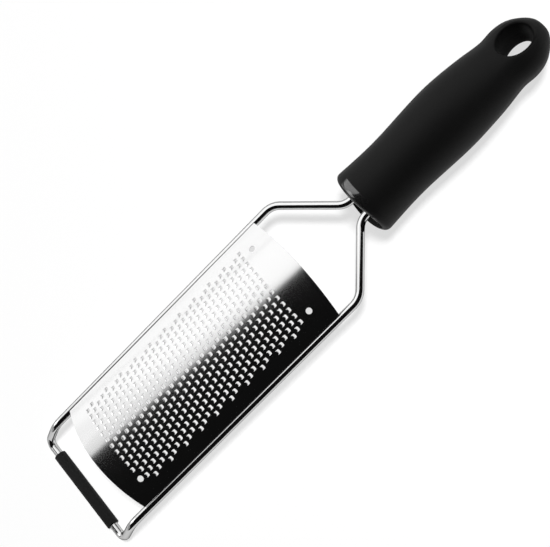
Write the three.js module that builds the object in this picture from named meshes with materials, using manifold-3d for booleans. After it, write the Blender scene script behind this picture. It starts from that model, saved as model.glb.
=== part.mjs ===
// A hand-held fine grater: an arched, toothed blade seated on a bent wire frame with a moulded handle.
// Millimetres, +Z up. The tool's length runs along +Y, from the foot bar to the hanging eye.
// It lies as on a table, on its foot sleeve and on the rim of the handle's mouth.

import * as THREE from "three";
import { mergeGeometries, mergeVertices } from "three/addons/utils/BufferGeometryUtils.js";
import Module from "manifold-3d";

const wasm = await Module();
wasm.setup();

// Clearances
const seatGap = 0.3; // between a piece and the one that it sits on, in or over
const cutMargin = 2; // how far a cutter reaches past what it cuts
const weldDistance = 1e-4; // points nearer than this are one point

// Wire frame, one bent rod
const rodDiameter = 4;
const railPastEdge = 1; // from the blade's lower edge out to the rail's centre line
const railPastBlade = 8.3; // from the blade's handle end to the corner of the shoulder
const shoulderAngle = 46.3; // degrees that a rail turns inwards
const shoulderBendRadius = 10;
const neckSpacing = 10.2; // between the rods where they enter the handle
const neckBendRadius = 9;
const rodInsert = 45; // length of rod held in the handle's core
const foldPastBlade = 7.9; // from the blade's foot end to the fold of the foot
const footAngle = 37.5; // degrees that the foot folds down
const footDrop = 8.7; // from the rails' centre lines down to the foot bar's
const footFoldRadius = 12;
const footCornerRadius = 4.2;
const rodSides = 10;
const bendStep = 12; // degrees of bend between two rings of the rod

// Foot sleeve
const sleeveDiameter = 6.1;
const sleeveLength = 45.2;
const sleeveSides = 16;

// Blade
const bladeLength = 135.2; // along its centre line
const bladeWidth = 63.6; // measured around the arch
const archRadius = 67.5; // of the upper face
const bladeThickness = 0.5;
const endBow = 3.2; // how far each end bows out between the rails
const archFacets = 8;
const keyHoleDiameter = 3.6;
const keyHoleSpread = 41.6; // measured around the arch
const keyHoleInset = 11.6; // from the blade's end, on the centre line
const keyHoleSides = 10;

// Teeth, in rows across the blade
const toothPitch = 3.813; // along a row, measured around the arch
const rowPitch = 3.4;
const rowsPerCycle = 3; // each row steps sideways by a pitch over this number
const fieldHandleMargin = 17.6; // from the blade's handle end to the first row
const fieldFootMargin = 12;
const fieldSideMargin = 7.5;
const openingWidth = 2.6;
const openingLength = 2.3;
const toothLength = 1.9;
const toothRise = 0.7;

// Handle, measured from the lips of its mouth
const lipsPastShoulder = 3.3; // from the inner corners of the shoulders to the lips
const handleLength = 115.7;
const mouthRadius = 17.4;
const waistRadius = 16.15;
const waistAt = 25;
const bellyRadius = 17.25;
const bellyAt = 57;
const taperRadius = 15.95;
const taperFromEnd = 39.7; // from the round end of the handle
const neckRadius = 14.05;
const neckFromEnd = 25.7;
const eyeRadius = 14.5;
const eyeFromEnd = 18.2;
const eyeDepth = 11.5; // half the height of the handle at its eye
const gripWall = 3;
const lipRounding = 2.4;
const mouthBow = 2.5; // how far the lips stand out beyond the sides of the mouth
const recessDepth = 9; // from the lips to the face of the core
const handleSegments = 24;
const outerSideSteps = 16;
const outerEndSteps = 5;
const innerSideSteps = 10; // inside the grip, and round the core that fills it
const innerEndSteps = 3;

// Hanging hole through the eye
const hangHoleWidth = 10.5;
const hangHoleLength = 15.5;
const hangHoleFromEnd = 14.7; // from its middle to the round end of the handle
const linerStep = 0.6; // how far the core stands out inside the grip's hole
const hangHoleSides = 16;

// Sizes that follow
const rodRadius = rodDiameter / 2;
const lowerRadius = archRadius - bladeThickness;
const archHalfAngle = bladeWidth / 2 / archRadius;
const edgeX = lowerRadius * Math.sin(archHalfAngle);
const railX = edgeX + railPastEdge;
const neckX = neckSpacing / 2;
const bladeHalf = bladeLength / 2;
const shoulderTurn = THREE.MathUtils.degToRad(shoulderAngle);
const shoulderY = bladeHalf + railPastBlade;
const neckY = shoulderY + (railX - neckX) / Math.tan(shoulderTurn);
const mouthY = neckY + lipsPastShoulder;
const footFold = THREE.MathUtils.degToRad(footAngle);
const foldY = -bladeHalf - foldPastBlade;
const footBarY = foldY - footDrop / Math.tan(footFold);
const sleeveRadius = sleeveDiameter / 2;
const eyeAt = handleLength - eyeFromEnd;
const hangHoleAt = handleLength - hangHoleFromEnd;

// Materials
const steel = new THREE.MeshStandardMaterial({ color: 0xc9ccd0, roughness: 0.18, metalness: 1 });
const bladeSteel = new THREE.MeshStandardMaterial({ color: 0xd4d6d9, roughness: 0.12, metalness: 1 });
const softBlack = new THREE.MeshStandardMaterial({ color: 0x17181a, roughness: 0.5, metalness: 0 });
const coreBlack = new THREE.MeshStandardMaterial({ color: 0x101113, roughness: 0.35, metalness: 0 });
const rubber = new THREE.MeshStandardMaterial({ color: 0x151515, roughness: 0.8, metalness: 0 });

// Solids for joining and cutting
function solid(geometry) {
  const bare = geometry.clone();
  bare.deleteAttribute("normal");
  bare.deleteAttribute("uv");
  const merged = mergeVertices(bare, weldDistance);
  return new wasm.Manifold(new wasm.Mesh({
    numProp: 3,
    vertProperties: new Float32Array(merged.attributes.position.array),
    triVerts: new Uint32Array(merged.index.array),
  }));
}

function geometryOf(body) {
  const mesh = body.getMesh();
  const geometry = new THREE.BufferGeometry();
  geometry.setAttribute("position", new THREE.BufferAttribute(mesh.vertProperties, 3));
  geometry.setIndex(new THREE.BufferAttribute(mesh.triVerts, 1));
  return geometry;
}

// The upright prism of a plan outline, from one height to another
function prism(outline, low, high, curveSegments = 1) {
  const depth = high - low;
  const geometry = new THREE.ExtrudeGeometry(outline, { depth, bevelEnabled: false, curveSegments });
  return geometry.translate(0, 0, low);
}

// A rod's centre line as stations: straight runs between corners, each corner rounded to its radius
function bentPath(corners) {
  const stations = [corners[0].at];
  for (let i = 1; i < corners.length - 1; i += 1) {
    const { at, radius } = corners[i];
    const incoming = at.clone().sub(corners[i - 1].at).normalize();
    const outgoing = corners[i + 1].at.clone().sub(at).normalize();
    const turn = incoming.angleTo(outgoing);
    const inwards = outgoing.clone().addScaledVector(incoming, -Math.cos(turn)).normalize();
    const start = at.clone().addScaledVector(incoming, -radius * Math.tan(turn / 2));
    const steps = Math.ceil(turn / THREE.MathUtils.degToRad(bendStep));
    for (let step = 0; step <= steps; step += 1) {
      const angle = turn * step / steps;
      const station = start.clone().addScaledVector(incoming, radius * Math.sin(angle));
      stations.push(station.addScaledVector(inwards, radius * (1 - Math.cos(angle))));
    }
  }
  stations.push(corners.at(-1).at);
  return stations;
}

// A curve that visits its stations one by one, so that straight runs need no rings of their own
class StationCurve extends THREE.Curve {
  constructor(stations) {
    super();
    this.stations = stations;
  }

  indexAt(u) {
    return Math.round(u * (this.stations.length - 1));
  }

  getPointAt(u, target = new THREE.Vector3()) {
    return target.copy(this.stations[this.indexAt(u)]);
  }

  getTangentAt(u, target = new THREE.Vector3()) {
    const index = this.indexAt(u);
    const here = this.stations[index];
    const before = this.stations[index - 1] ?? here;
    const after = this.stations[index + 1] ?? here;
    const arriving = here.clone().sub(before).normalize();
    const leaving = after.clone().sub(here).normalize();
    return target.addVectors(arriving, leaving).normalize();
  }
}

function wireFrame() {
  const rodEndY = mouthY + recessDepth + rodInsert;
  const rightHalf = [
    { at: new THREE.Vector3(neckX, rodEndY, 0) },
    { at: new THREE.Vector3(neckX, neckY, 0), radius: neckBendRadius },
    { at: new THREE.Vector3(railX, shoulderY, 0), radius: shoulderBendRadius },
    { at: new THREE.Vector3(railX, foldY, 0), radius: footFoldRadius },
    { at: new THREE.Vector3(railX, footBarY, -footDrop), radius: footCornerRadius },
  ];
  const leftHalf = rightHalf.map(({ at, radius }) => ({ at: new THREE.Vector3(-at.x, at.y, at.z), radius }));
  const stations = bentPath([...rightHalf, ...leftHalf.reverse()]);
  const section = new THREE.Shape().absarc(0, 0, rodRadius, 0, 2 * Math.PI);
  return new THREE.ExtrudeGeometry(section, {
    steps: stations.length - 1,
    curveSegments: rodSides / 2,
    extrudePath: new StationCurve(stations),
    bevelEnabled: false,
  });
}

// A tube round the foot bar, with one flat side turned down to the table
function footSleeve() {
  const outer = sleeveRadius / Math.cos(Math.PI / sleeveSides);
  const bore = (rodRadius + seatGap) / Math.cos(Math.PI / sleeveSides);
  const half = sleeveLength / 2;
  const wall = [[bore, -half], [outer, -half], [outer, half], [bore, half], [bore, -half]];
  const profile = wall.map(([radius, along]) => new THREE.Vector2(radius, along));
  const tube = new THREE.LatheGeometry(profile, sleeveSides, Math.PI / sleeveSides);
  return tube.rotateZ(-Math.PI / 2).rotateX(-Math.PI / 2);
}

// Height of the arch's centre above the rails, with the blade's lower edges seated on the rods
function archCentreZ() {
  const seat = rodRadius + seatGap;
  const edgeZ = Math.sqrt(seat ** 2 - railPastEdge ** 2);
  return edgeZ - lowerRadius * Math.cos(archHalfAngle);
}

// Wraps a point of the flat blade, at a distance across and along it and a height above its upper face
function wrap({ x: across, y: along, z: height }) {
  const angle = across / archRadius;
  const radius = archRadius + height;
  return new THREE.Vector3(radius * Math.sin(angle), along, radius * Math.cos(angle));
}

// Key holes: a pair at the handle end and one at the foot
function keyHoles() {
  const spread = keyHoleSpread / 2;
  const along = bladeHalf - keyHoleInset;
  return [[-spread, along], [spread, along], [spread, -along]];
}

// Rows of teeth from the handle end to the foot, each stepped sideways and clear of the key holes
function toothRows() {
  const sideStep = 1 / rowsPerCycle;
  const widestShift = (rowsPerCycle - 1) * sideStep;
  const rowCount = Math.floor((bladeLength - fieldHandleMargin - fieldFootMargin) / rowPitch) + 1;
  const teeth = Math.floor((bladeWidth - 2 * fieldSideMargin) / toothPitch - widestShift) + 1;
  const clearOfHole = (keyHoleDiameter + openingWidth) / 2;
  const rows = [];
  for (let row = 0; row < rowCount; row += 1) {
    const along = bladeHalf - fieldHandleMargin - row * rowPitch;
    const shift = (row % rowsPerCycle) * sideStep - (teeth - 1 + widestShift) / 2;
    const places = Array.from({ length: teeth }, (_, tooth) => (tooth + shift) * toothPitch);
    const isClear = (across) => keyHoles().every(([x, y]) => Math.hypot(x - across, y - along) > clearOfHole);
    rows.push(places.filter(isClear).map((across) => toothPoints(across, along)));
  }
  return rows;
}

// A tooth: a lip raised across the foot side of its opening, falling back to a root behind it
function toothPoints(across, along) {
  const half = openingWidth / 2;
  const lipAlong = along - (openingLength - toothLength) / 2;
  return {
    before: new THREE.Vector3(across - toothPitch / 2, lipAlong, 0),
    lipStart: new THREE.Vector3(across - half, lipAlong, toothRise),
    lipEnd: new THREE.Vector3(across + half, lipAlong, toothRise),
    after: new THREE.Vector3(across + toothPitch / 2, lipAlong, 0),
    tip: new THREE.Vector3(across, lipAlong + openingLength, 0),
    root: new THREE.Vector3(across, lipAlong - toothLength, 0),
  };
}

// A line across the flat blade, from one long edge to the other through the points given
function lineAcross(along, points) {
  const edge = bladeWidth / 2;
  const plainSide = fieldSideMargin - toothPitch / 2;
  const at = (x) => new THREE.Vector3(x, along, 0);
  return [at(-edge), at(plainSide / 2 - edge), ...points, at(edge - plainSide / 2), at(edge)];
}

// A line along the lips of a row, through chosen points of its teeth
function rowLine(row, names) {
  const points = row.flatMap((tooth) => names.map((name) => tooth[name]));
  const isNew = (point, i) => i === 0 || point.distanceTo(points[i - 1]) > weldDistance;
  return lineAcross(row[0].before.y, points.filter(isNew));
}

// A line with no teeth, at a distance from the lips of a row
function plainLine(row, distance) {
  const along = row[0].before.y + distance;
  const places = [...row.map(({ before }) => before.x), row.at(-1).after.x];
  return lineAcross(along, places.map((x) => new THREE.Vector3(x, along, 0)));
}

// Fills the strip between two lines of points with triangles, upper side up
function knit(handleLine, footLine) {
  const corners = [];
  let h = 0;
  let f = 0;
  while (h < handleLine.length - 1 || f < footLine.length - 1) {
    const nextHandle = handleLine[h + 1]?.x ?? Infinity;
    const nextFoot = footLine[f + 1]?.x ?? Infinity;
    corners.push(handleLine[h], footLine[f]);
    if (nextFoot <= nextHandle) {
      f += 1;
      corners.push(footLine[f]);
    } else {
      h += 1;
      corners.push(handleLine[h]);
    }
  }
  return corners;
}

// An end of the flat blade as a line of points from one long edge to the other
function endLine(along) {
  return Array.from({ length: archFacets + 1 }, (_, i) => (
    new THREE.Vector3((i / archFacets - 0.5) * bladeWidth, along, 0)
  ));
}

// Knits one face of the blade, through chosen points on the two sides of each row
function knitFace(rows, handleNames, footNames, lift) {
  const firstLine = plainLine(rows[0], rowPitch);
  const lastLine = plainLine(rows.at(-1), -rowPitch);
  const handleLines = rows.map((row) => rowLine(row, handleNames));
  const footLines = rows.map((row) => rowLine(row, footNames));
  const starts = [endLine(bladeHalf), firstLine, ...footLines, lastLine];
  const ends = [firstLine, ...handleLines, lastLine, endLine(-bladeHalf)];
  return starts.flatMap((start, i) => knit(start, ends[i])).map(lift);
}

// Walls down from a closed line of points on the upper face, which runs clockwise seen from above
function walls(loop) {
  return loop.flatMap((start, i) => {
    const end = loop[(i + 1) % loop.length];
    const [startBelow, endBelow] = [start, end].map(below);
    return [start, startBelow, endBelow, start, endBelow, end].reverse();
  });
}

function below({ x, y }) {
  return new THREE.Vector3(x, y, -bladeThickness);
}

function toothedSheet() {
  const rows = toothRows();
  const upper = knitFace(rows, ["before", "lipStart", "tip", "lipEnd", "after"],
    ["before", "lipStart", "root", "lipEnd", "after"], (point) => point);
  const ramps = rows.flat().flatMap(({ lipStart, root, lipEnd }) => [lipStart, root, lipEnd]);
  const lower = knitFace(rows, ["lipStart", "tip", "lipEnd"], ["lipStart", "lipEnd"], below).reverse();
  const openings = rows.flat().flatMap(({ lipStart, lipEnd, tip }) => walls([lipStart, lipEnd, tip]));
  const lines = rows.map((row) => rowLine(row, []));
  lines.unshift(plainLine(rows[0], rowPitch));
  lines.push(plainLine(rows.at(-1), -rowPitch));
  const rim = walls([
    ...endLine(bladeHalf),
    ...lines.map((line) => line.at(-1)),
    ...endLine(-bladeHalf).reverse(),
    ...lines.map((line) => line[0]).reverse(),
  ]);
  const corners = [...upper, ...ramps, ...lower, ...openings, ...rim];
  return solid(new THREE.BufferGeometry().setFromPoints(corners.map(wrap)));
}

// Plan outline with bowed ends, wider than the blade so that it trims the ends alone
function bowedOutline() {
  const cornerX = archRadius * Math.sin(archHalfAngle);
  const bowRadius = (cornerX ** 2 + endBow ** 2) / (2 * endBow);
  const bowAngle = Math.asin((cornerX + cutMargin) / bowRadius);
  const centreY = bladeHalf - bowRadius;
  const outline = new THREE.Shape();
  outline.absarc(0, centreY, bowRadius, Math.PI / 2 - bowAngle, Math.PI / 2 + bowAngle, false);
  outline.absarc(0, -centreY, bowRadius, 1.5 * Math.PI - bowAngle, 1.5 * Math.PI + bowAngle, false);
  return outline;
}

function keyHoleCutter() {
  const outline = new THREE.Shape().absarc(0, 0, keyHoleDiameter / 2, 0, 2 * Math.PI);
  const low = archRadius - bladeThickness - cutMargin;
  const cutter = prism(outline, low, archRadius + cutMargin, keyHoleSides / 2);
  const cutters = keyHoles().map(([across, along]) => (
    cutter.clone().rotateY(across / archRadius).translate(0, along, 0)
  ));
  return solid(mergeGeometries(cutters));
}

function graterBlade() {
  const ends = solid(prism(bowedOutline(), 0, archRadius + toothRise + cutMargin, archFacets / 2));
  const blade = toothedSheet().intersect(ends).subtract(keyHoleCutter());
  return geometryOf(blade).translate(0, 0, archCentreZ());
}

// Half width of the handle against the distance from its lips
const handleSide = new THREE.SplineCurve([
  new THREE.Vector2(0, mouthRadius),
  new THREE.Vector2(waistAt, waistRadius),
  new THREE.Vector2(bellyAt, bellyRadius),
  new THREE.Vector2(handleLength - taperFromEnd, taperRadius),
  new THREE.Vector2(handleLength - neckFromEnd, neckRadius),
  new THREE.Vector2(eyeAt, eyeRadius),
]);

// Stations of the handle from a distance behind its lips to its round end, inset all round
function handleStations(inset, nearEnd, sideSteps, endSteps) {
  const samples = handleSide.getPoints(sideSteps).filter((sample) => sample.x > nearEnd);
  const sides = [new THREE.Vector2(nearEnd, sideAt(nearEnd)), ...samples];
  const stations = sides.map(({ x: at, y: radius }) => {
    const flattening = THREE.MathUtils.smoothstep(at, bellyAt, eyeAt) * (1 - eyeDepth / eyeRadius);
    return { at, halfWidth: radius - inset, halfHeight: radius * (1 - flattening) - inset };
  });
  for (let step = 1; step <= endSteps; step += 1) {
    const angle = step / endSteps * Math.PI / 2;
    const shrink = step < endSteps ? Math.cos(angle) : 0;
    stations.push({
      at: eyeAt + (handleLength - eyeAt - inset) * Math.sin(angle),
      halfWidth: (eyeRadius - inset) * shrink,
      halfHeight: (eyeDepth - inset) * shrink,
    });
  }
  return stations;
}

// Radius of the handle's side at a distance from the lips
function sideAt(distance) {
  const points = handleSide.getPoints(200);
  const after = points.findIndex((point) => point.x >= distance);
  if (after <= 0) return points[0].y;
  const [low, high] = [points[after - 1], points[after]];
  return THREE.MathUtils.mapLinear(distance, low.x, high.x, low.y, high.y);
}

// Turns stations round the handle's axis, with each ring squeezed to its own half height
function turned(stations, segments) {
  const profile = stations.map(({ at, halfWidth }) => new THREE.Vector2(halfWidth, at));
  const geometry = new THREE.LatheGeometry(profile, segments);
  const position = geometry.attributes.position;
  for (let i = 0; i < position.count; i += 1) {
    const { halfWidth, halfHeight } = stations[i % stations.length];
    if (halfWidth > 0) position.setZ(i, position.getZ(i) * halfHeight / halfWidth);
  }
  return geometry;
}

// Sets the sides of the mouth back, so that its lips bow out
function bowMouth(geometry) {
  const position = geometry.attributes.position;
  for (let i = 0; i < position.count; i += 1) {
    const fade = 1 - THREE.MathUtils.smoothstep(position.getY(i), 0, recessDepth);
    const setBack = mouthBow * (position.getX(i) / mouthRadius) ** 2 * fade;
    position.setY(i, position.getY(i) + setBack);
  }
  return geometry;
}

function hangHole(grow) {
  const outline = new THREE.Shape();
  const halfWidth = hangHoleWidth / 2 + grow;
  const halfLength = hangHoleLength / 2 + grow;
  outline.absellipse(0, hangHoleAt, halfWidth, halfLength, 0, 2 * Math.PI);
  return solid(prism(outline, -eyeRadius - cutMargin, eyeRadius + cutMargin, hangHoleSides / 2));
}

function handleGrip() {
  const outside = handleStations(0, lipRounding, outerSideSteps, outerEndSteps);
  const inside = handleStations(gripWall, 0, innerSideSteps, innerEndSteps).reverse();
  const lip = [Math.PI / 2, Math.PI / 3, Math.PI / 6].map((angle) => {
    const radius = sideAt(lipRounding) - lipRounding * (1 - Math.cos(angle));
    return { at: lipRounding * (1 - Math.sin(angle)), halfWidth: radius, halfHeight: radius };
  });
  const shell = bowMouth(turned([...inside, ...lip, ...outside], handleSegments));
  const body = solid(shell).subtract(hangHole(linerStep));
  return geometryOf(body).translate(0, mouthY, 0);
}

function handleCore() {
  const face = { at: recessDepth, halfWidth: 0, halfHeight: 0 };
  const inset = gripWall + seatGap;
  const sides = handleStations(inset, recessDepth, innerSideSteps, innerEndSteps);
  const plug = turned([face, ...sides], handleSegments);
  const boreRadius = rodRadius + seatGap;
  const boreLength = rodInsert + seatGap + cutMargin;
  const bore = new THREE.CylinderGeometry(boreRadius, boreRadius, boreLength, rodSides);
  const boreMiddle = recessDepth - cutMargin + boreLength / 2;
  const bores = [-neckX, neckX].map((x) => bore.clone().translate(x, boreMiddle, 0));
  const body = solid(plug).subtract(hangHole(0)).subtract(solid(mergeGeometries(bores)));
  return geometryOf(body).translate(0, mouthY, 0);
}

// The angle that brings the sleeve and the mouth's lower lip down onto one level
function restTilt() {
  const lipY = mouthY + lipRounding;
  const lipZ = lipRounding - sideAt(lipRounding);
  const rise = lipZ + footDrop;
  const run = lipY - footBarY;
  const step = Math.asin((lipRounding - sleeveRadius) / Math.hypot(rise, run));
  return step - Math.atan2(rise, run);
}

function addPiece(group, name, geometry, material) {
  const piece = new THREE.Mesh(geometry, material);
  piece.name = name;
  group.add(piece);
  return piece;
}

const tool = new THREE.Group();
tool.rotation.x = restTilt();
addPiece(tool, "wire_frame", wireFrame(), steel);
addPiece(tool, "grater_blade", graterBlade(), bladeSteel);
addPiece(tool, "handle_core", handleCore(), coreBlack);
addPiece(tool, "handle_grip", handleGrip(), softBlack);
const sleeve = addPiece(tool, "foot_sleeve", footSleeve(), rubber);
sleeve.position.set(0, footBarY, -footDrop);
sleeve.rotation.x = -restTilt();

// The origin is under the middle of the tool, on the table
const box = new THREE.Box3().setFromObject(tool, true);
const middle = box.getCenter(new THREE.Vector3());
tool.position.set(-middle.x, -middle.y, -box.min.z);

const fineGrater = new THREE.Group();
fineGrater.name = "fine_grater";
fineGrater.add(tool);

export default fineGrater;
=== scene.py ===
import math

import bmesh
import bpy
from mathutils import Matrix, Vector


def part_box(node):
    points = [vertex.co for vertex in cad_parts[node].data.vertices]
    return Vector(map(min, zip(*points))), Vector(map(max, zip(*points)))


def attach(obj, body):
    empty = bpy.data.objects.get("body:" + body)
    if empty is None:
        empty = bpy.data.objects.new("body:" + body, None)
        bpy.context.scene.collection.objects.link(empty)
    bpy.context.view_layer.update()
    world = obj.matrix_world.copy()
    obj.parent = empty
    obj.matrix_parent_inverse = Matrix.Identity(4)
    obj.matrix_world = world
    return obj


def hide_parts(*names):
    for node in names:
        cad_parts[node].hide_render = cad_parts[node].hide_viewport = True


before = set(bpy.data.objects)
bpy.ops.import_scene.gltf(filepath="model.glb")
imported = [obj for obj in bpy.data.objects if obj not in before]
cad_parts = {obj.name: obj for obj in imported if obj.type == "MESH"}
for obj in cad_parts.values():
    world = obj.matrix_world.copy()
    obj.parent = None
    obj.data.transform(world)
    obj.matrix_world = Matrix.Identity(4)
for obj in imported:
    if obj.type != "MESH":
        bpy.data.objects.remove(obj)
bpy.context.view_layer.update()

bpy.context.scene.view_settings.view_transform = "Standard"
mm = 0.001
touching = 0.01 * mm  # places nearer than this are one place
slack = 0.05 * mm  # room for edges and faces that are picked by their place

# The tool is modelled level, with the rods' centre lines at z 0 and the blade's middle at y 0,
# then laid down on its foot sleeve and its lower lip
lying = dict(tilt=math.radians(1.6282), footBarY=-86.838 * mm, footDrop=8.7 * mm)


def toolPlace():
    low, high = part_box("foot_sleeve")
    levelFoot = Matrix.Translation((0, -lying["footBarY"], lying["footDrop"]))
    return Matrix.Translation((low + high) / 2) @ Matrix.Rotation(lying["tilt"], 4, "X") @ levelFoot


def leaveEditing():
    if bpy.context.object and bpy.context.object.mode == "EDIT":
        bpy.ops.object.mode_set(mode="OBJECT")


def selectOnly(*pieces):
    leaveEditing()
    bpy.ops.object.select_all(action="DESELECT")
    for piece in pieces:
        piece.select_set(True)
    bpy.context.view_layer.objects.active = pieces[0]


def startEditing(piece, mode="VERT"):
    selectOnly(piece)
    bpy.ops.object.mode_set(mode="EDIT")
    bpy.ops.mesh.select_mode(type=mode)


# selects the edges or faces that pass a test
def pick(piece, kind, test):
    bpy.ops.mesh.select_all(action="DESELECT")
    mesh = bmesh.from_edit_mesh(piece.data)
    for item in list(getattr(mesh, kind)):
        if test(item):
            item.select_set(True)
    mesh.select_flush_mode()
    bmesh.update_edit_mesh(piece.data)


# edges with faces on one side only, both ends passing a test on their place
def pickRim(piece, test):
    bpy.ops.mesh.select_mode(type="EDGE")
    pick(piece, "edges", lambda edge: len(edge.link_faces) < 2 and all(test(v.co) for v in edge.verts))


def pickFaces(piece, test):
    bpy.ops.mesh.select_mode(type="FACE")
    pick(piece, "faces", lambda face: test(face.calc_center_median()))


def countPicked(piece):
    return sum(vertex.select for vertex in bmesh.from_edit_mesh(piece.data).verts)


# gives each picked vertex a new place, while editing
def movePicked(piece, place):
    mesh = bmesh.from_edit_mesh(piece.data)
    for vertex in [vertex for vertex in mesh.verts if vertex.select]:
        vertex.co = place(vertex.co)
    bmesh.update_edit_mesh(piece.data)


def moveVertices(piece, place):
    leaveEditing()
    for vertex in piece.data.vertices:
        vertex.co = place(vertex.co)
    piece.data.update()


def extrudeBy(x, y, z):
    bpy.ops.mesh.extrude_region_move(TRANSFORM_OT_translate={"value": (x, y, z)})


def addModifier(piece, kind, **settings):
    selectOnly(piece)
    modifier = piece.modifiers.new(kind.title(), kind)
    for name, value in settings.items():
        setattr(modifier, name, value)
    bpy.ops.object.modifier_apply(modifier=modifier.name)


def mergeDoubles(piece):
    startEditing(piece)
    bpy.ops.mesh.select_all(action="SELECT")
    bpy.ops.mesh.remove_doubles(threshold=touching)


def faceOutwards(piece):
    startEditing(piece)
    bpy.ops.mesh.select_all(action="SELECT")
    bpy.ops.mesh.normals_make_consistent(inside=False)
    if bmesh.from_edit_mesh(piece.data).calc_volume(signed=True) < 0:  # a tube can come out inside out
        bpy.ops.mesh.flip_normals()
    leaveEditing()


def subdivide(piece, levels):
    addModifier(piece, "SUBSURF", levels=levels, render_levels=levels)


# lays a finished piece down with the tool and ties it to the frame
def finishPiece(piece, name, node, finish, smoothAngle=35):
    piece.name = name
    piece.data.name = name
    piece.matrix_world = toolPlace()
    selectOnly(piece)
    bpy.ops.object.transform_apply(location=True, rotation=True, scale=True)
    bpy.ops.object.shade_smooth_by_angle(angle=math.radians(smoothAngle))
    piece.data.materials.clear()
    piece.data.materials.append(finish)
    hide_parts(node)
    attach(piece, "root")
    print("made", name, len(piece.data.polygons), "faces")


# a node socket that can stand in a sum
class Wired:
    def __init__(self, finish, socket):
        self.finish = finish
        self.socket = socket

    def maths(self, operation, first, second):
        return self.finish.node("ShaderNodeMath", {"operation": operation}, {0: first, 1: second})

    def __add__(self, other):
        return self.maths("ADD", self, other)

    def __radd__(self, other):
        return self.maths("ADD", other, self)

    def __sub__(self, other):
        return self.maths("SUBTRACT", self, other)

    def __rsub__(self, other):
        return self.maths("SUBTRACT", other, self)

    def __mul__(self, other):
        return self.maths("MULTIPLY", self, other)

    def __rmul__(self, other):
        return self.maths("MULTIPLY", other, self)


class Finish:
    def __init__(self, name, holder=None):
        self.holder = holder or bpy.data.materials.new(name)
        self.holder.use_nodes = True
        self.tree = self.holder.node_tree
        self.tree.nodes.clear()

    def node(self, kind, settings, sockets, output=0):
        made = self.tree.nodes.new(kind)
        for name, value in settings.items():
            setattr(made, name, value)
        for name, value in sockets.items():
            if isinstance(value, Wired):
                self.tree.links.new(value.socket, made.inputs[name])
            else:
                made.inputs[name].default_value = value
        return Wired(self, made.outputs[output]) if made.outputs else None

    def blend(self, share, first, second):
        return self.node("ShaderNodeMix", {"data_type": "RGBA"}, {0: share, 6: first, 7: second}, 2)

    def place(self, scale=(1, 1, 1)):
        where = self.node("ShaderNodeTexCoord", {}, {}, "Object")
        return self.node("ShaderNodeMapping", {}, {"Vector": where, "Scale": scale})

    def noise(self, where, scale, detail=2):
        return self.node("ShaderNodeTexNoise", {}, {"Vector": where, "Scale": scale, "Detail": detail}, "Fac")

    def bump(self, height, strength, distance):
        sockets = {"Height": height, "Strength": strength, "Distance": distance}
        return self.node("ShaderNodeBump", {}, sockets)

    def surface(self, **sockets):
        named = {name.replace("_", " "): value for name, value in sockets.items()}
        shader = self.node("ShaderNodeBsdfPrincipled", {}, named)
        self.node("ShaderNodeOutputMaterial", {}, {"Surface": shader})
        return self.holder


def grey(value):
    return (value, value, value, 1)


# Steel of the frame and the blade, with faint drawing marks along the tool
steel = dict(
    tint=0.62, smudgedTint=0.5952, edgeTint=0.1,
    drawn=(120, 10, 120), drawnRough=0.02, smudge=60, smudgeRough=0.03,
)


def steelFinish(name, rough):
    finish = Finish(name)
    drawn = finish.noise(finish.place(steel["drawn"]), 1)
    smudge = finish.noise(finish.place(), steel["smudge"])
    roughness = rough + (drawn - 0.5) * steel["drawnRough"] + (smudge - 0.5) * steel["smudgeRough"]
    tone = finish.blend(smudge, grey(steel["smudgedTint"]), grey(steel["tint"]))
    return finish.surface(Base_Color=tone, Metallic=1, Roughness=roughness,
                          Specular_Tint=grey(steel["edgeTint"]))


# Wire frame: one rod, bent on the right side and mirrored
wire = dict(
    rodRadius=2 * mm, sides=32, bendStep=math.radians(6), rough=0.09,
    railX=31.41 * mm, neckX=5.1 * mm, endY=158.34 * mm,
    neckY=101.042 * mm, neckBend=9 * mm, shoulderY=75.9 * mm, shoulderBend=10 * mm,
    foldY=-75.5 * mm, foldBend=12 * mm, cornerBend=4.2 * mm,
)


def makeWireFrame():
    bpy.ops.object.select_all(action="DESELECT")
    corners = [
        (Vector((wire["neckX"], wire["neckY"], 0)), wire["neckBend"]),
        (Vector((wire["railX"], wire["shoulderY"], 0)), wire["shoulderBend"]),
        (Vector((wire["railX"], wire["foldY"], 0)), wire["foldBend"]),
        (Vector((wire["railX"], lying["footBarY"], -lying["footDrop"])), wire["cornerBend"]),
    ]
    here = Vector((wire["neckX"], wire["endY"], 0))
    middle = Vector((0, lying["footBarY"], -lying["footDrop"]))
    bpy.ops.mesh.primitive_circle_add(vertices=wire["sides"], radius=wire["rodRadius"], location=here,
                                      rotation=(math.pi / 2, 0, 0))
    rod = bpy.context.object
    bpy.ops.object.transform_apply(location=True, rotation=True, scale=True)
    startEditing(rod, "EDGE")
    bpy.ops.mesh.select_all(action="SELECT")
    for i, (corner, bend) in enumerate(corners):
        after = corners[i + 1][0] if i + 1 < len(corners) else middle
        incoming = (corner - here).normalized()
        outgoing = (after - corner).normalized()
        turn = incoming.angle(outgoing)
        reach = bend * math.tan(turn / 2)
        start = corner - incoming * reach
        extrudeBy(*(start - here))
        axis = incoming.cross(outgoing).normalized()
        centre = start + axis.cross(incoming) * bend
        steps = math.ceil(turn / wire["bendStep"])
        bpy.ops.mesh.spin(steps=steps, angle=-turn, center=centre, axis=axis)  # spin turns clockwise
        here = corner + outgoing * reach
    extrudeBy(*(middle - here))
    addModifier(rod, "MIRROR", use_axis=(True, False, False), use_mirror_merge=True, merge_threshold=touching)
    mergeDoubles(rod)
    bpy.ops.mesh.select_all(action="SELECT")
    bpy.ops.mesh.fill_holes(sides=0)
    faceOutwards(rod)
    finishPiece(rod, "wireFrame", "wire_frame", steelFinish("polishedRod", wire["rough"]))


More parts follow.
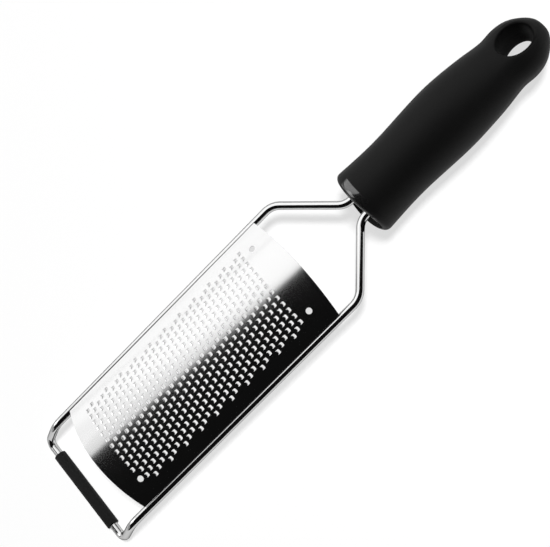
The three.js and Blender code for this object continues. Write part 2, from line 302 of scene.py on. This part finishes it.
# Foot sleeve: a rubber tube on the foot bar
sleeve = dict(
    radius=3.05 * mm, bore=2.15 * mm, length=45.2 * mm, sides=48, rimRound=0.45 * mm, rimSteps=4,
    dark=0.004, pale=0.009, rough=0.62, dust=180, dustRough=0.15, gloss=0.2,
    grain=2600, grainStrength=0.5, grainDepth=0.12 * mm,
)


def rubberFinish():
    finish = Finish("grainedRubber")
    grain = finish.noise(finish.place(), sleeve["grain"])
    dust = finish.noise(finish.place(), sleeve["dust"], 3)
    tone = finish.blend(dust, grey(sleeve["dark"]), grey(sleeve["pale"]))
    rough = sleeve["rough"] + dust * sleeve["dustRough"]
    normal = finish.bump(grain, sleeve["grainStrength"], sleeve["grainDepth"])
    return finish.surface(Base_Color=tone, Roughness=rough, Normal=normal, Specular_IOR_Level=sleeve["gloss"])


def makeFootSleeve():
    bpy.ops.object.select_all(action="DESELECT")
    radius, half = sleeve["radius"], sleeve["length"] / 2
    foot = Vector((0, lying["footBarY"], -lying["footDrop"]))
    bpy.ops.mesh.primitive_cylinder_add(vertices=sleeve["sides"], radius=radius, depth=sleeve["length"],
                                        location=foot, rotation=(0, math.pi / 2, 0))
    tube = bpy.context.object
    bpy.ops.object.transform_apply(location=True, rotation=True, scale=True)
    startEditing(tube, "FACE")
    pickFaces(tube, lambda at: abs(abs(at.x) - half) < touching)
    bpy.ops.mesh.inset(thickness=radius - sleeve["bore"])
    bpy.ops.mesh.delete(type="FACE")
    pickRim(tube, lambda at: True)
    bpy.ops.mesh.bridge_edge_loops()
    bpy.ops.mesh.select_mode(type="EDGE")

    def isOuterRim(at):
        return abs(abs(at.x) - half) < touching and (at - foot).yz.length > radius - slack

    pick(tube, "edges", lambda edge: all(isOuterRim(v.co) for v in edge.verts))
    bpy.ops.mesh.bevel(offset=sleeve["rimRound"], segments=sleeve["rimSteps"])
    faceOutwards(tube)
    finishPiece(tube, "footSleeve", "foot_sleeve", rubberFinish())


# Blade: one tooth is modelled flat and copied in rows, then the sheet is wrapped round its arch
blade = dict(
    length=135.2 * mm, width=63.6 * mm, arch=67.5 * mm, apexZ=9.87 * mm, thickness=0.5 * mm, endBow=3.2 * mm,
    pitch=3.813 * mm, rowPitch=3.4 * mm, rows=32, perRow=13, stagger=3, firstRowY=50 * mm,
    keyHoleRadius=1.55 * mm, keyHoleX=20.8 * mm, keyHoleY=56 * mm, keyHoleRoom=2.5 * mm,
    keyHoleSteps=6, keyHoleColumns=4,
    sideSteps=3, endSteps=3, endStep=10 * mm, footStep=1.9 * mm, rough=0.15,
)
# the tile's steps and rings, then the shape of the slot and of the tongue in it
tooth = dict(
    stepsWide=6, stepsHigh=4, innerRing=0.6 * mm, outerRing=1.2 * mm, rootTurn=math.radians(36),
    rootCorner=math.radians(135), squareness=5, slotHalf=1.12 * mm, slotReach=0.68 * mm, slotBack=1.45 * mm,
    tongueHalf=0.93 * mm, tongueTip=-0.5 * mm, tongueRoot=-1.28 * mm, rise=0.25 * mm,
)


# how far a rounded square reaches out, in a direction of length one
def squareReach(x, y, squareness):
    return (abs(x) ** squareness + abs(y) ** squareness) ** (-1 / squareness)


# a tile of sheet round one slot, with the tongue's root on the foot side
def makeToothTile():
    bpy.ops.object.select_all(action="DESELECT")
    inner, outer = tooth["innerRing"], tooth["outerRing"]
    between = (inner + outer) / 2
    sides = 2 * (tooth["stepsWide"] + tooth["stepsHigh"])
    bpy.ops.mesh.primitive_circle_add(vertices=sides, radius=inner, fill_type="TRIFAN")
    tile = bpy.context.object
    startEditing(tile, "EDGE")
    bpy.ops.mesh.primitive_circle_add(vertices=sides, radius=outer)
    pickRim(tile, lambda at: True)
    bpy.ops.mesh.bridge_edge_loops()
    pickRim(tile, lambda at: at.length > between)
    extrudeBy(0, 0, 0)

    def onOutline(at):
        step = round(math.atan2(at.y, at.x) / (2 * math.pi) * sides)
        fromTop = sides // 4 - abs(step)
        fromSide = min(abs(step), sides // 2 - abs(step))
        x = blade["pitch"] / 2 * min(max(fromTop / (tooth["stepsWide"] / 2), -1), 1)
        y = blade["rowPitch"] / 2 * min(fromSide / (tooth["stepsHigh"] / 2), 1)
        return Vector((x, math.copysign(y, step), 0))

    movePicked(tile, onOutline)
    foot = Vector((0, -1, 0))
    pickFaces(tile, lambda at: inner < at.length < outer and at.angle(foot) > tooth["rootTurn"])
    bpy.ops.mesh.delete(type="FACE")
    openTurn = math.pi - tooth["rootTurn"]
    slotMiddle = (tooth["slotReach"] - tooth["slotBack"]) / 2
    tip, root = tooth["tongueTip"], tooth["tongueRoot"]

    # the slot takes a square outline and the tongue a round one as wide as its root, and the tongue rises to its tip
    def shape(at):
        if at.length > outer + touching:
            return at
        if at.length < inner / 2:
            return Vector((0, (tip + root) / 2, tooth["rise"] / 2))
        turn = math.atan2(at.x, at.y)
        share = min(abs(turn) / openTurn, 1)
        past = max(abs(turn) - openTurn, 0) / tooth["rootTurn"]
        if at.length > between:
            corner = share * tooth["rootCorner"] + past * (math.pi - tooth["rootCorner"])
            x, y = math.copysign(math.sin(corner), turn), math.cos(corner)
            out = squareReach(x, y, tooth["squareness"])
            return Vector((x * out * tooth["slotHalf"], slotMiddle + y * out * (tooth["slotReach"] - slotMiddle), 0))
        side = share * math.pi / 2
        x = tooth["tongueHalf"] * math.sin(side) * (1 - past)
        y = root + (tip - root) * math.cos(side)
        return Vector((math.copysign(x, turn), y, tooth["rise"] * (y - root) / (tip - root)))

    moveVertices(tile, shape)
    return tile


# the plan line of a bowed end, at a distance across the flat sheet
def bowedEnd(across):
    corner = blade["arch"] * math.sin(blade["width"] / 2 / blade["arch"])
    bowRadius = (corner ** 2 + blade["endBow"] ** 2) / (2 * blade["endBow"])
    x = blade["arch"] * math.sin(across / blade["arch"])
    return blade["length"] / 2 - bowRadius + math.sqrt(bowRadius ** 2 - x ** 2)


def makeField():
    tile = makeToothTile()
    column = blade["pitch"] / blade["stagger"]
    addModifier(tile, "ARRAY", count=blade["perRow"], use_relative_offset=False, use_constant_offset=True,
                constant_offset_displace=(blade["pitch"], 0, 0), use_merge_vertices=True, merge_threshold=touching)
    widest = blade["stagger"] - 1
    fieldHalf = (blade["perRow"] * blade["pitch"] + widest * column) / 2
    rows = []
    for shift in range(blade["stagger"]):
        row = tile.copy()
        row.data = tile.data.copy()
        bpy.context.collection.objects.link(row)
        left = shift * column - fieldHalf
        right = left + blade["perRow"] * blade["pitch"]
        moveVertices(row, lambda at: at + Vector((left + blade["pitch"] / 2, -shift * blade["rowPitch"], 0)))
        startEditing(row)
        for end, steps, way in ((left, 2 * shift, -1), (right, 2 * (widest - shift), 1)):
            pickRim(row, lambda at: abs(at.x - end) < touching)
            for _ in range(steps):
                extrudeBy(way * column / 2, 0, 0)
        leaveEditing()
        rows.append(row)
    selectOnly(*rows)
    bpy.ops.object.join()
    field = rows[0]
    bpy.data.objects.remove(tile)
    groups = math.ceil(blade["rows"] / blade["stagger"])
    addModifier(field, "ARRAY", count=groups, use_relative_offset=False, use_constant_offset=True,
                constant_offset_displace=(0, -blade["stagger"] * blade["rowPitch"], 0))
    moveVertices(field, lambda at: at + Vector((0, blade["firstRowY"], 0)))
    mergeDoubles(field)
    return field, fieldHalf


# takes a block of faces out and draws the rim left behind in to a round hole
def cutKeyHole(sheet, x, y, low, high):
    pickFaces(sheet, lambda at: low.x < at.x < high.x and low.y < at.y < high.y)
    bpy.ops.mesh.delete(type="FACE")
    pickRim(sheet, lambda at: low.x - slack < at.x < high.x + slack and low.y - slack < at.y < high.y + slack)
    middle = Vector((x, y, 0))
    movePicked(sheet, lambda at: middle + (at - middle).normalized() * blade["keyHoleRadius"])


def makeBlade():
    sheet, fieldHalf = makeField()
    half = blade["width"] / 2
    halfRow = blade["rowPitch"] / 2
    halfColumn = blade["pitch"] / blade["stagger"] / 2
    fieldTop = blade["firstRowY"] + halfRow
    lastRowY = blade["firstRowY"] - (blade["rows"] - 1) * blade["rowPitch"]
    fieldFoot = lastRowY - halfRow
    startEditing(sheet)
    pickFaces(sheet, lambda at: at.y < fieldFoot)  # rows past the last one
    bpy.ops.mesh.delete(type="FACE")
    for way in (-1, 1):
        pickRim(sheet, lambda at: abs(at.x - way * fieldHalf) < slack)
        for _ in range(blade["sideSteps"]):
            extrudeBy(way * (half - fieldHalf) / blade["sideSteps"], 0, 0)
    # plain ends: level lines past the key holes, then lines that bend to the bowed end
    holeTop = blade["keyHoleY"] + blade["keyHoleRoom"]
    holeFoot = blade["keyHoleY"] - blade["keyHoleRoom"]
    pickRim(sheet, lambda at: abs(at.y - fieldTop) < slack)
    extrudeBy(0, holeFoot - fieldTop, 0)
    for _ in range(blade["keyHoleSteps"]):
        extrudeBy(0, (holeTop - holeFoot) / blade["keyHoleSteps"], 0)
    for _ in range(blade["endSteps"]):
        extrudeBy(0, blade["endStep"], 0)
    pickRim(sheet, lambda at: abs(at.y - fieldFoot) < slack)
    extrudeBy(0, -blade["footStep"], 0)
    lowest = fieldFoot - blade["footStep"]
    for _ in range(blade["endSteps"]):
        extrudeBy(0, -blade["endStep"], 0)

    def bow(at):
        for edge, way in ((holeTop, 1), (lowest, -1)):
            steps = round((at.y - edge) * way / blade["endStep"])
            if steps > 0:
                return Vector((at.x, edge + (way * bowedEnd(at.x) - edge) * steps / blade["endSteps"], at.z))
        return at

    moveVertices(sheet, bow)
    startEditing(sheet)
    room = blade["keyHoleColumns"] * halfColumn + slack
    for x in (-blade["keyHoleX"], blade["keyHoleX"]):
        nearest = round(x / halfColumn) * halfColumn
        cutKeyHole(sheet, x, blade["keyHoleY"], Vector((nearest - room, holeFoot)), Vector((nearest + room, holeTop)))
    # the foot's key hole takes the place of the last two teeth of the last row
    rowShift = (blade["rows"] - 1) % blade["stagger"] * 2 * halfColumn
    right = rowShift - fieldHalf + blade["perRow"] * blade["pitch"]
    cutKeyHole(sheet, blade["keyHoleX"], -blade["keyHoleY"],
               Vector((right - 2 * blade["pitch"], lowest)), Vector((right, lastRowY + halfRow)))
    mergeDoubles(sheet)
    faceOutwards(sheet)
    if sheet.data.polygons[0].normal.z < 0:
        startEditing(sheet)
        bpy.ops.mesh.select_all(action="SELECT")
        bpy.ops.mesh.flip_normals()

    def wrap(at):
        angle = at.x / blade["arch"]
        radius = blade["arch"] + at.z
        return Vector((radius * math.sin(angle), at.y, radius * math.cos(angle) - blade["arch"] + blade["apexZ"]))

    moveVertices(sheet, wrap)
    addModifier(sheet, "SOLIDIFY", thickness=blade["thickness"], offset=-1)
    finishPiece(sheet, "graterBlade", "grater_blade", steelFinish("brightSheet", blade["rough"]))


# Handle: rings drawn along its length, distances measured from the lips of its mouth.
# The named places are distances with half widths
handle = dict(
    mouthY=104.342 * mm, length=115.7 * mm, wall=3 * mm, gap=0.3 * mm, recess=9 * mm,
    mouth=(0, 17.4 * mm), waist=(25 * mm, 16.15 * mm), belly=(57 * mm, 17.25 * mm),
    taper=(76 * mm, 15.95 * mm), neck=(90 * mm, 14.2 * mm), eye=(97.5 * mm, 14.6 * mm), eyeHeight=11.5 * mm,
    fullness=3, endDrop=2.4 * mm, dropPower=5, endRoom=1 * mm,
    segments=24, levels=2, plainStep=11 * mm, cagePasses=4, leastSize=0.2 * mm,
    tipRings=((0.077, 0.434), (-0.003, 0.2)),  # back from the end and out, as shares of the round end
)
# The hang hole: how many steps it takes up each way, and its loops. Each loop has its middle across and along
# from the hole's own, its half width and half length, and its height as a share of the handle's
hangHole = dict(
    at=100.9 * mm, step=5 * mm, reach=2, faceReach=1.7, rimReach=2.1, skinRoom=0.09, coreGap=0.4 * mm,
    rim=(-1.1 * mm, 0.9 * mm, 8.8 * mm, 11.5 * mm, 1),
    brow=(-1.1 * mm, 0.9 * mm, 8 * mm, 10.7 * mm, 0.985),
    edge=(-1.3 * mm, 0.3 * mm, 6.9 * mm, 9.1 * mm, 0.94),
    wall=(-1.1 * mm, 0.1 * mm, 6.7 * mm, 8.5 * mm, 0.55),
    foot=(-0.7 * mm, 0.2 * mm, 6.6 * mm, 8.5 * mm, -0.25),
    ledge=(0, -0.5 * mm, 4.3 * mm, 7.5 * mm, -0.72),
    lowRim=(0, 0, 6.6 * mm, 10 * mm, 1),
    lowEdge=(0, -0.5 * mm, 4.4 * mm, 7.6 * mm, 0.87),
    lining=(0, 0, 8.3 * mm, 9.9 * mm, 1),
)


def smoothStep(value, low, high):
    share = min(max((value - low) / (high - low), 0), 1)
    return share * share * (3 - 2 * share)


# half width of the handle's outside: a smooth line through its named places, then the round end
def sideAt(distance):
    at, radius = handle["eye"]
    if distance > at:
        share = (distance - at) / (handle["length"] - at)
        return radius * math.sqrt(max(1 - share * share, 0))
    places = [handle[name] for name in ("mouth", "waist", "belly", "taper", "neck", "eye")]
    i = max(k for k, place in enumerate(places[:-1]) if place[0] <= max(distance, 0))
    (low, first), (high, last) = places[i], places[i + 1]
    span = high - low

    def slope(k):
        before, after = places[max(k - 1, 0)], places[min(k + 1, len(places) - 1)]
        return 0 if k == len(places) - 1 else (after[1] - before[1]) / (after[0] - before[0])

    t = (distance - low) / span
    rise = t * t * (3 - 2 * t)
    swing = t * (1 - t) * (slope(i) * (1 - t) - slope(i + 1) * t)
    return first + (last - first) * rise + span * swing


# half width and half height of the handle at a distance, drawn in by an inset
def ringSize(distance, inset=0):
    width = sideAt(distance)
    flat = smoothStep(distance, handle["belly"][0], handle["eye"][0])
    height = width * (1 - flat * (1 - handle["eyeHeight"] / handle["eye"][1]))
    return max(width - inset, handle["leastSize"]), max(height - inset, handle["leastSize"])


# a cage that a subdivided surface draws in to the wanted size
def cageSize(size, count):
    return size / (2 / 3 + math.cos(2 * math.pi / count) / 3)


# the rings of one skin: evenly spaced to the hang hole, on the hole's own steps past it, then the round end
def skinRings(start, inset):
    holeStart = hangHole["at"] - hangHole["reach"] * hangHole["step"]
    count = round((holeStart - start) / handle["plainStep"])
    places = [start + (holeStart - start) * i / count for i in range(count)]
    places += [holeStart + hangHole["step"] * i for i in range(2 * hangHole["reach"] + 1)]
    wanted = [ringSize(at, inset) for at in places]
    end = handle["length"] - inset
    endLength, radius = end - handle["eye"][0], handle["eye"][1] - inset
    height = handle["eyeHeight"] / handle["eye"][1]
    tip = [(end - endLength * back, radius * share) for back, share in handle["tipRings"]]
    # the cage stands out where the subdivided surface would draw in
    cage = [Vector(size) for size in wanted]
    after = Vector((tip[0][1], tip[0][1] * height))
    for _ in range(handle["cagePasses"]):
        padded = [cage[0]] + cage + [after]
        cage = [here + Vector(size) - (padded[i] + 4 * here + padded[i + 2]) / 6
                for i, (here, size) in enumerate(zip(cage, wanted))]
    rings = [(at, size.x, size.y) for at, size in zip(places, cage)]
    return rings + [(at, width, width * height) for at, width in tip]


def drawRings(rings):
    bpy.ops.object.select_all(action="DESELECT")
    bpy.ops.mesh.primitive_circle_add(vertices=handle["segments"], radius=1, location=(0, rings[0][0], 0),
                                      rotation=(math.pi / 2, 0, 0))
    body = bpy.context.object
    bpy.ops.object.transform_apply(location=True, rotation=True, scale=True)
    startEditing(body, "EDGE")
    bpy.ops.mesh.select_all(action="SELECT")
    lastAt, lastWidth, lastHeight = rings[0][0], 1, 1
    for i, (at, width, height) in enumerate(rings):
        if i:
            extrudeBy(0, at - lastAt, 0)
        else:
            bpy.ops.mesh.edge_face_add()
            bpy.ops.mesh.select_mode(type="EDGE")
        bpy.ops.transform.resize(value=(width / lastWidth, 1, height / lastHeight), center_override=(0, at, 0))
        lastAt, lastWidth, lastHeight = at, width, height
    bpy.ops.mesh.edge_face_add()
    return body


# a point of one of the hang hole's loops, at a turn round it, over or under the handle's middle
def loopPoint(loop, corners, turn, side, inset=0):
    across, along, halfWidth, halfLength, share = loop
    x = across + cageSize(halfWidth, corners) * math.cos(turn)
    y = hangHole["at"] + along + cageSize(halfLength, corners) * math.sin(turn)
    width, height = ringSize(y, inset)
    return Vector((x, y, side * share * height * math.sqrt(1 - (x / width) ** 2)))


# opens the hang hole in one skin on one side: a block of faces goes, and its rim takes a loop's outline.
# Inside the handle, the rim's far end stands clear of the skin and stays where it is
def openHole(body, inset, side, loop):
    reach = hangHole["reach"]
    turnStep = 2 * math.pi / handle["segments"]
    loopStep = math.pi / (4 * reach)

    def steps(at):
        width, height = ringSize(at.y, inset)
        turn = math.atan2(at.x / width, side * at.z / height)
        return turn / turnStep, (at.y - hangHole["at"]) / hangHole["step"], math.hypot(at.x / width, at.z / height)

    def within(at, limit):
        turns, rings, out = steps(at)
        return abs(turns) < limit and abs(rings) < limit and abs(out - 1) < hangHole["skinRoom"]

    pickFaces(body, lambda at: within(at, hangHole["faceReach"]))
    bpy.ops.mesh.delete(type="FACE")
    pickRim(body, lambda at: within(at, hangHole["rimReach"]))
    corners = countPicked(body)

    def onLoop(at):
        turns, rings, _ = steps(at)
        turns, rings = round(turns), round(rings)
        turn = rings * loopStep
        if abs(turns) < reach:
            turn = math.copysign((2 * reach - abs(turns)) * loopStep, rings)
        return loopPoint(loop, corners, turn if turns > 0 else math.pi - turn, side, inset)

    movePicked(body, onLoop)


# opens the outside at the hang hole and draws its rim down the hole's wall, from loop to loop
def addBowl(body, side, names):
    loops = [hangHole[name] for name in names]
    openHole(body, 0, side, loops[0])
    corners = countPicked(body)
    for (across, along, halfWidth, halfLength, _), loop in zip(loops, loops[1:]):
        def drawIn(at):
            turn = math.atan2((at.y - hangHole["at"] - along) / halfLength, (at.x - across) / halfWidth)
            return loopPoint(loop, corners, turn, side)

        extrudeBy(0, 0, 0)
        movePicked(body, drawIn)


def bridgeRims(body):
    pickRim(body, lambda at: True)
    bpy.ops.mesh.bridge_edge_loops()


# the finished handle: its underside is fuller than its top past the belly, and its end drops a little
def onHandle(at):
    x, y, z = at
    width, height = ringSize(min(y, handle["length"] - handle["endRoom"]))
    out = math.hypot(x / width, z / height)
    if z < 0 and out > 0:
        full = squareReach(x / width / out, z / height / out, handle["fullness"])
        grow = 1 + (full - 1) * smoothStep(y, handle["belly"][0], handle["neck"][0])
        x, z = x * grow, z * grow
    drop = handle["endDrop"] * (y / handle["length"]) ** handle["dropPower"]
    return Vector((x, handle["mouthY"] + y, z - drop))


# what the grip's and the core's plastic share: worn tone and roughness, and a fine grain
def wornPlastic(finish, look):
    grain = finish.noise(finish.place(), look["grain"], 3)
    wear = finish.noise(finish.place(), look["wear"], 3)
    tone = finish.blend(wear, grey(look["dark"]), grey(look["pale"]))
    rough = look["rough"] + (wear - 0.5) * look["wearRough"]
    return tone, rough, finish.bump(grain, look["grainStrength"], look["grainDepth"])


# Grip: the lip of its mouth, then its looks. A band on top of the lip is polished with a line before it,
# and the hang hole's wall is duller. A pair gives where a look is nothing and where it is full
grip = dict(
    mouthBow=3.25 * mm, mouthLean=0.09, lipFront=0.75 * mm, bowReach=16 * mm,
    lipStart=7 * mm, lipLong=5 * mm, lipDeep=2.4 * mm, lipTurns=(0, 30, 60, 90), lipTight=0.5, lipSides=(0.45, 0.85),
    lipInside=((0.1 * mm, 0.05 * mm), (0.9 * mm, 0)),  # back from the mouth, and short of the wall's inside
    dark=0.002, pale=0.0035, rough=0.62, wear=45, wearRough=0.08, gloss=0.18,
    grain=2200, grainStrength=0.35, grainDepth=0.05 * mm, polishRough=0.12, polishIor=1.9,
    bandUp=(10 * mm, 11 * mm), bandLeft=(-9.2 * mm, -7.5 * mm), bandRight=(9 * mm, 4 * mm),
    bandFront=(0.4 * mm, 0.6 * mm), bandBack=(4.4 * mm, 4.1 * mm),
    lineBack=(0.4 * mm, 0.2 * mm), lineLeft=(-5 * mm, -3 * mm), lineRight=(14 * mm, 12 * mm), linePolish=0.5,
    holeEdge=(1, 0.85), holeEnd=(0.75, 0.5), holeUp=(-5 * mm, -1 * mm), holeDull=0.16, holeTopDull=0.13,
)


def gripFinish():
    finish = Finish("softBlack")
    tone, rough, normal = wornPlastic(finish, grip)
    where = finish.node("ShaderNodeTexCoord", {}, {}, "Object")
    x, y, z = [finish.node("ShaderNodeSeparateXYZ", {}, {"Vector": where}, axis) for axis in "XYZ"]
    mouth = toolPlace() @ Vector((0, handle["mouthY"], 0))
    up = z - mouth.z
    bow = grip["mouthBow"] / handle["mouth"][1] ** 2
    back = y - mouth.y - x * x * bow - up * grip["mouthLean"] + grip["lipFront"]

    def fade(value, name):
        nothing, full = grip[name]
        return finish.node("ShaderNodeMapRange", {}, {"Value": value, "From Min": nothing, "From Max": full})

    onTop = fade(up, "bandUp") * fade(x, "bandLeft") * fade(x, "bandRight")
    band = fade(back, "bandFront") * fade(back, "bandBack") * onTop
    line = fade(back, "lineBack") * fade(x, "lineLeft") * fade(x, "lineRight")
    across, along, halfWidth, halfLength, _ = hangHole["brow"]
    hole = mouth + Vector((across, hangHole["at"] + along, 0))
    acrossHole, alongHole = (x - hole.x) * (1 / halfWidth), (y - hole.y) * (1 / halfLength)
    inHole = fade(acrossHole * acrossHole + alongHole * alongHole, "holeEdge") * fade(alongHole, "holeEnd")
    dull = grip["holeDull"] + grip["holeTopDull"] * fade(up, "holeUp")
    return finish.surface(Base_Color=tone, Roughness=rough + inHole * dull, Normal=normal,
                          Specular_IOR_Level=grip["gloss"], Coat_Weight=band + line * grip["linePolish"],
                          Coat_Roughness=grip["polishRough"], Coat_IOR=grip["polishIor"])


def makeHandleGrip():
    wall, long, deep = handle["wall"], grip["lipLong"], grip["lipDeep"]
    outside = skinRings(grip["lipStart"], 0)
    inside = skinRings(grip["lipStart"], wall)
    # the lip: a big round on the outside and a small one on the inside
    turns = [math.radians(turn) for turn in grip["lipTurns"]]
    lip = [(long * (1 - math.sin(turn)), deep * (1 - math.cos(turn))) for turn in turns]
    lip += [(at, wall - short) for at, short in grip["lipInside"]]
    lip = [(at, *ringSize(at, inset)) for at, inset in lip]
    shell = drawRings(outside[::-1] + lip + inside)
    for side in (-1, 1):
        openHole(shell, wall, side, hangHole["lining"])
    bridgeRims(shell)
    # a wide well from above, with a narrower opening below
    addBowl(shell, 1, ("rim", "brow", "edge", "wall", "foot", "ledge"))
    addBowl(shell, -1, ("lowRim", "lowEdge"))
    bridgeRims(shell)
    faceOutwards(shell)
    holeStart = hangHole["at"] - (hangHole["reach"] + 0.5) * hangHole["step"]

    # the mouth bows and leans, and the lip's round is shorter at the sides than on top
    def bow(at):
        grow = 1 if at.y > holeStart else cageSize(1, handle["segments"])
        fromMiddle = at.x / handle["mouth"][1]
        shorter = smoothStep(abs(fromMiddle), *grip["lipSides"]) * (1 - grip["lipTight"])
        y = at.y * (1 - shorter * (1 - smoothStep(at.y, long, grip["bowReach"])))
        back = grip["mouthBow"] * fromMiddle ** 2 + grip["mouthLean"] * at.z - grip["lipFront"]
        nearMouth = 1 - smoothStep(at.y, 0, grip["bowReach"])
        return Vector((at.x * grow, y + back * nearMouth, at.z * grow))

    moveVertices(shell, bow)
    subdivide(shell, handle["levels"])
    moveVertices(shell, onHandle)
    finishPiece(shell, "handleGrip", "handle_grip", gripFinish(), 60)


# Core: a plug inside the grip, with a flat face at the bottom of the mouth
core = dict(
    faceShares=(0.6, 0.97), boreStart=2 * mm,
    dark=0.0032, pale=0.0048, rough=0.6, wear=45, wearRough=0.08, gloss=0.12,
    grain=900, grainStrength=0.35, grainDepth=0.01 * mm,
)


def coreFinish():
    finish = Finish("plainBlack")
    tone, rough, normal = wornPlastic(finish, core)
    return finish.surface(Base_Color=tone, Roughness=rough, Normal=normal, Specular_IOR_Level=core["gloss"])


def makeHandleCore():
    inset, recess = handle["wall"] + handle["gap"], handle["recess"]
    width, height = ringSize(recess, inset)
    face = [(recess, width * share, height * share) for share in core["faceShares"]]
    plug = drawRings(face + skinRings(recess, inset))
    across, along, halfWidth, halfLength, share = hangHole["lining"]
    gap = hangHole["coreGap"]
    for side in (-1, 1):
        openHole(plug, inset, side, (across, along, halfWidth + gap, halfLength + gap, share))
    bridgeRims(plug)
    faceOutwards(plug)
    subdivide(plug, handle["levels"])
    moveVertices(plug, onHandle)
    # a bore for each rod
    start = handle["mouthY"] + recess - core["boreStart"]
    end = wire["endY"] + handle["gap"]
    for x in (-wire["neckX"], wire["neckX"]):
        bpy.ops.mesh.primitive_cylinder_add(vertices=wire["sides"], radius=wire["rodRadius"] + handle["gap"] / 2,
                                            depth=end - start, location=(x, (start + end) / 2, 0),
                                            rotation=(math.pi / 2, 0, 0))
        drill = bpy.context.object
        addModifier(plug, "BOOLEAN", operation="DIFFERENCE", object=drill)
        bpy.data.objects.remove(drill)
    finishPiece(plug, "handleCore", "handle_core", coreFinish(), 40)


# Floor and camera
stage = dict(
    lens=72, sensor=36, nearest=0.01,
    cameraAt=(165.135 * mm, 43.668 * mm, 497.239 * mm), cameraTurn=(10.2355, 17.8029, 47.9494),
    floorSize=40, floorTint=0.96, floorGlow=0.68,
)


def makeFloor():
    bpy.ops.object.select_all(action="DESELECT")
    bpy.ops.mesh.primitive_plane_add(size=stage["floorSize"])
    floor = bpy.context.object
    floor.name = "floor"
    finish = Finish("paleFloor")
    path = {name: finish.node("ShaderNodeLightPath", {}, {}, name)
            for name in ("Is Camera Ray", "Is Glossy Ray", "Is Transmission Ray")}
    seen = path["Is Camera Ray"] + path["Is Glossy Ray"] + path["Is Transmission Ray"]
    matt = finish.node("ShaderNodeBsdfDiffuse", {}, {"Color": grey(stage["floorTint"])})
    glow = finish.node("ShaderNodeEmission", {}, {"Color": grey(1), "Strength": 1})
    mixed = finish.node("ShaderNodeMixShader", {}, {0: seen * stage["floorGlow"], 1: matt, 2: glow})
    finish.node("ShaderNodeOutputMaterial", {}, {"Surface": mixed})
    floor.data.materials.append(finish.holder)
    print("laid the floor")


def makeCamera():
    turn = [math.radians(angle) for angle in stage["cameraTurn"]]
    bpy.ops.object.camera_add(location=stage["cameraAt"], rotation=turn)
    camera = bpy.context.object
    camera.data.lens = stage["lens"]
    camera.data.sensor_width = stage["sensor"]
    camera.data.clip_start = stage["nearest"]
    bpy.context.scene.camera = camera
    print("set up the camera")


# Lamps: one panel overhead lights the floor, and the rest are seen in reflections only. Three on the left share
# a plane: the upper edge of the first parts the blade's bright half from its dark half, and the fills are
# turned in the plane so that the bright half greys towards the foot. Past the foot are a panel for the teeth
# and the lip of the handle, and a dim card for the bent legs
lamps = dict(
    key=dict(at=(0.1, 0.68, 2.5), turn=(math.radians(-15), 0, 0), wide=0.5, high=0.5, power=74),
    edge=Vector((-0.4736, -0.6404, 0.8)), along=Vector((0.509, 0.861, 0)), outward=Vector((-0.861, 0.509, 0)),
    lean=math.radians(40), cornerAt=0.616,
    leftPanel=dict(turn=0, back=0.616, wide=3.2, high=0.95, glow=1.2),
    middleFill=dict(turn=math.radians(-22), back=0.6, wide=1.2, high=0.75, glow=0.2),
    lowFill=dict(turn=math.radians(-36), back=0.6, wide=1.2, high=0.65, glow=0.22),
    aim=Vector((0, -0.1, 0.02)),
    footPanel=dict(at=(-0.935, -1.337, 1), wide=0.83, high=0.9, glow=1.65),
    footCard=dict(at=(-0.3, -0.8, 0.16), wide=0.9, high=0.3, glow=0.5),
    world=0.006,
)


def addPanel(name, at, turn, wide, high, power):
    bpy.ops.object.light_add(type="AREA", location=at, rotation=turn)
    panel = bpy.context.object
    panel.name = name
    panel.data.shape = "RECTANGLE"
    panel.data.size = wide
    panel.data.size_y = high
    panel.data.energy = power
    print("hung", name)
    return panel


# a panel of a given brightness that lights nothing matt
def addReflected(name, at, turn):
    wide, high = lamps[name]["wide"], lamps[name]["high"]
    panel = addPanel(name, at, turn, wide, high, lamps[name]["glow"] * math.pi * wide * high)
    panel.visible_diffuse = False


def makeLights():
    key = addPanel("keyPanel", **lamps["key"])
    key.visible_glossy = False
    along = lamps["along"]
    down = lamps["outward"] * math.cos(lamps["lean"]) - Vector((0, 0, math.sin(lamps["lean"])))
    corner = lamps["edge"] + along * lamps["cornerAt"]
    for name in ("leftPanel", "middleFill", "lowFill"):
        turn = lamps[name]["turn"]
        side = along * math.cos(turn) + down * math.sin(turn)
        below = down * math.cos(turn) - along * math.sin(turn)
        facing = Matrix((side, below, side.cross(below))).transposed().to_euler()
        addReflected(name, corner - side * lamps[name]["back"] + below * lamps[name]["high"] / 2, facing)
    for name in ("footPanel", "footCard"):
        at = Vector(lamps[name]["at"])
        addReflected(name, at, (lamps["aim"] - at).to_track_quat("-Z", "Y").to_euler())
    world = bpy.context.scene.world or bpy.data.worlds.new("studio")
    bpy.context.scene.world = world
    dim = Finish("studio", world)
    glow = dim.node("ShaderNodeBackground", {}, {"Color": grey(1), "Strength": lamps["world"]})
    dim.node("ShaderNodeOutputWorld", {}, {"Surface": glow})


makeCamera()
makeWireFrame()
makeFootSleeve()
makeBlade()
makeHandleGrip()
makeHandleCore()
makeFloor()
makeLights()
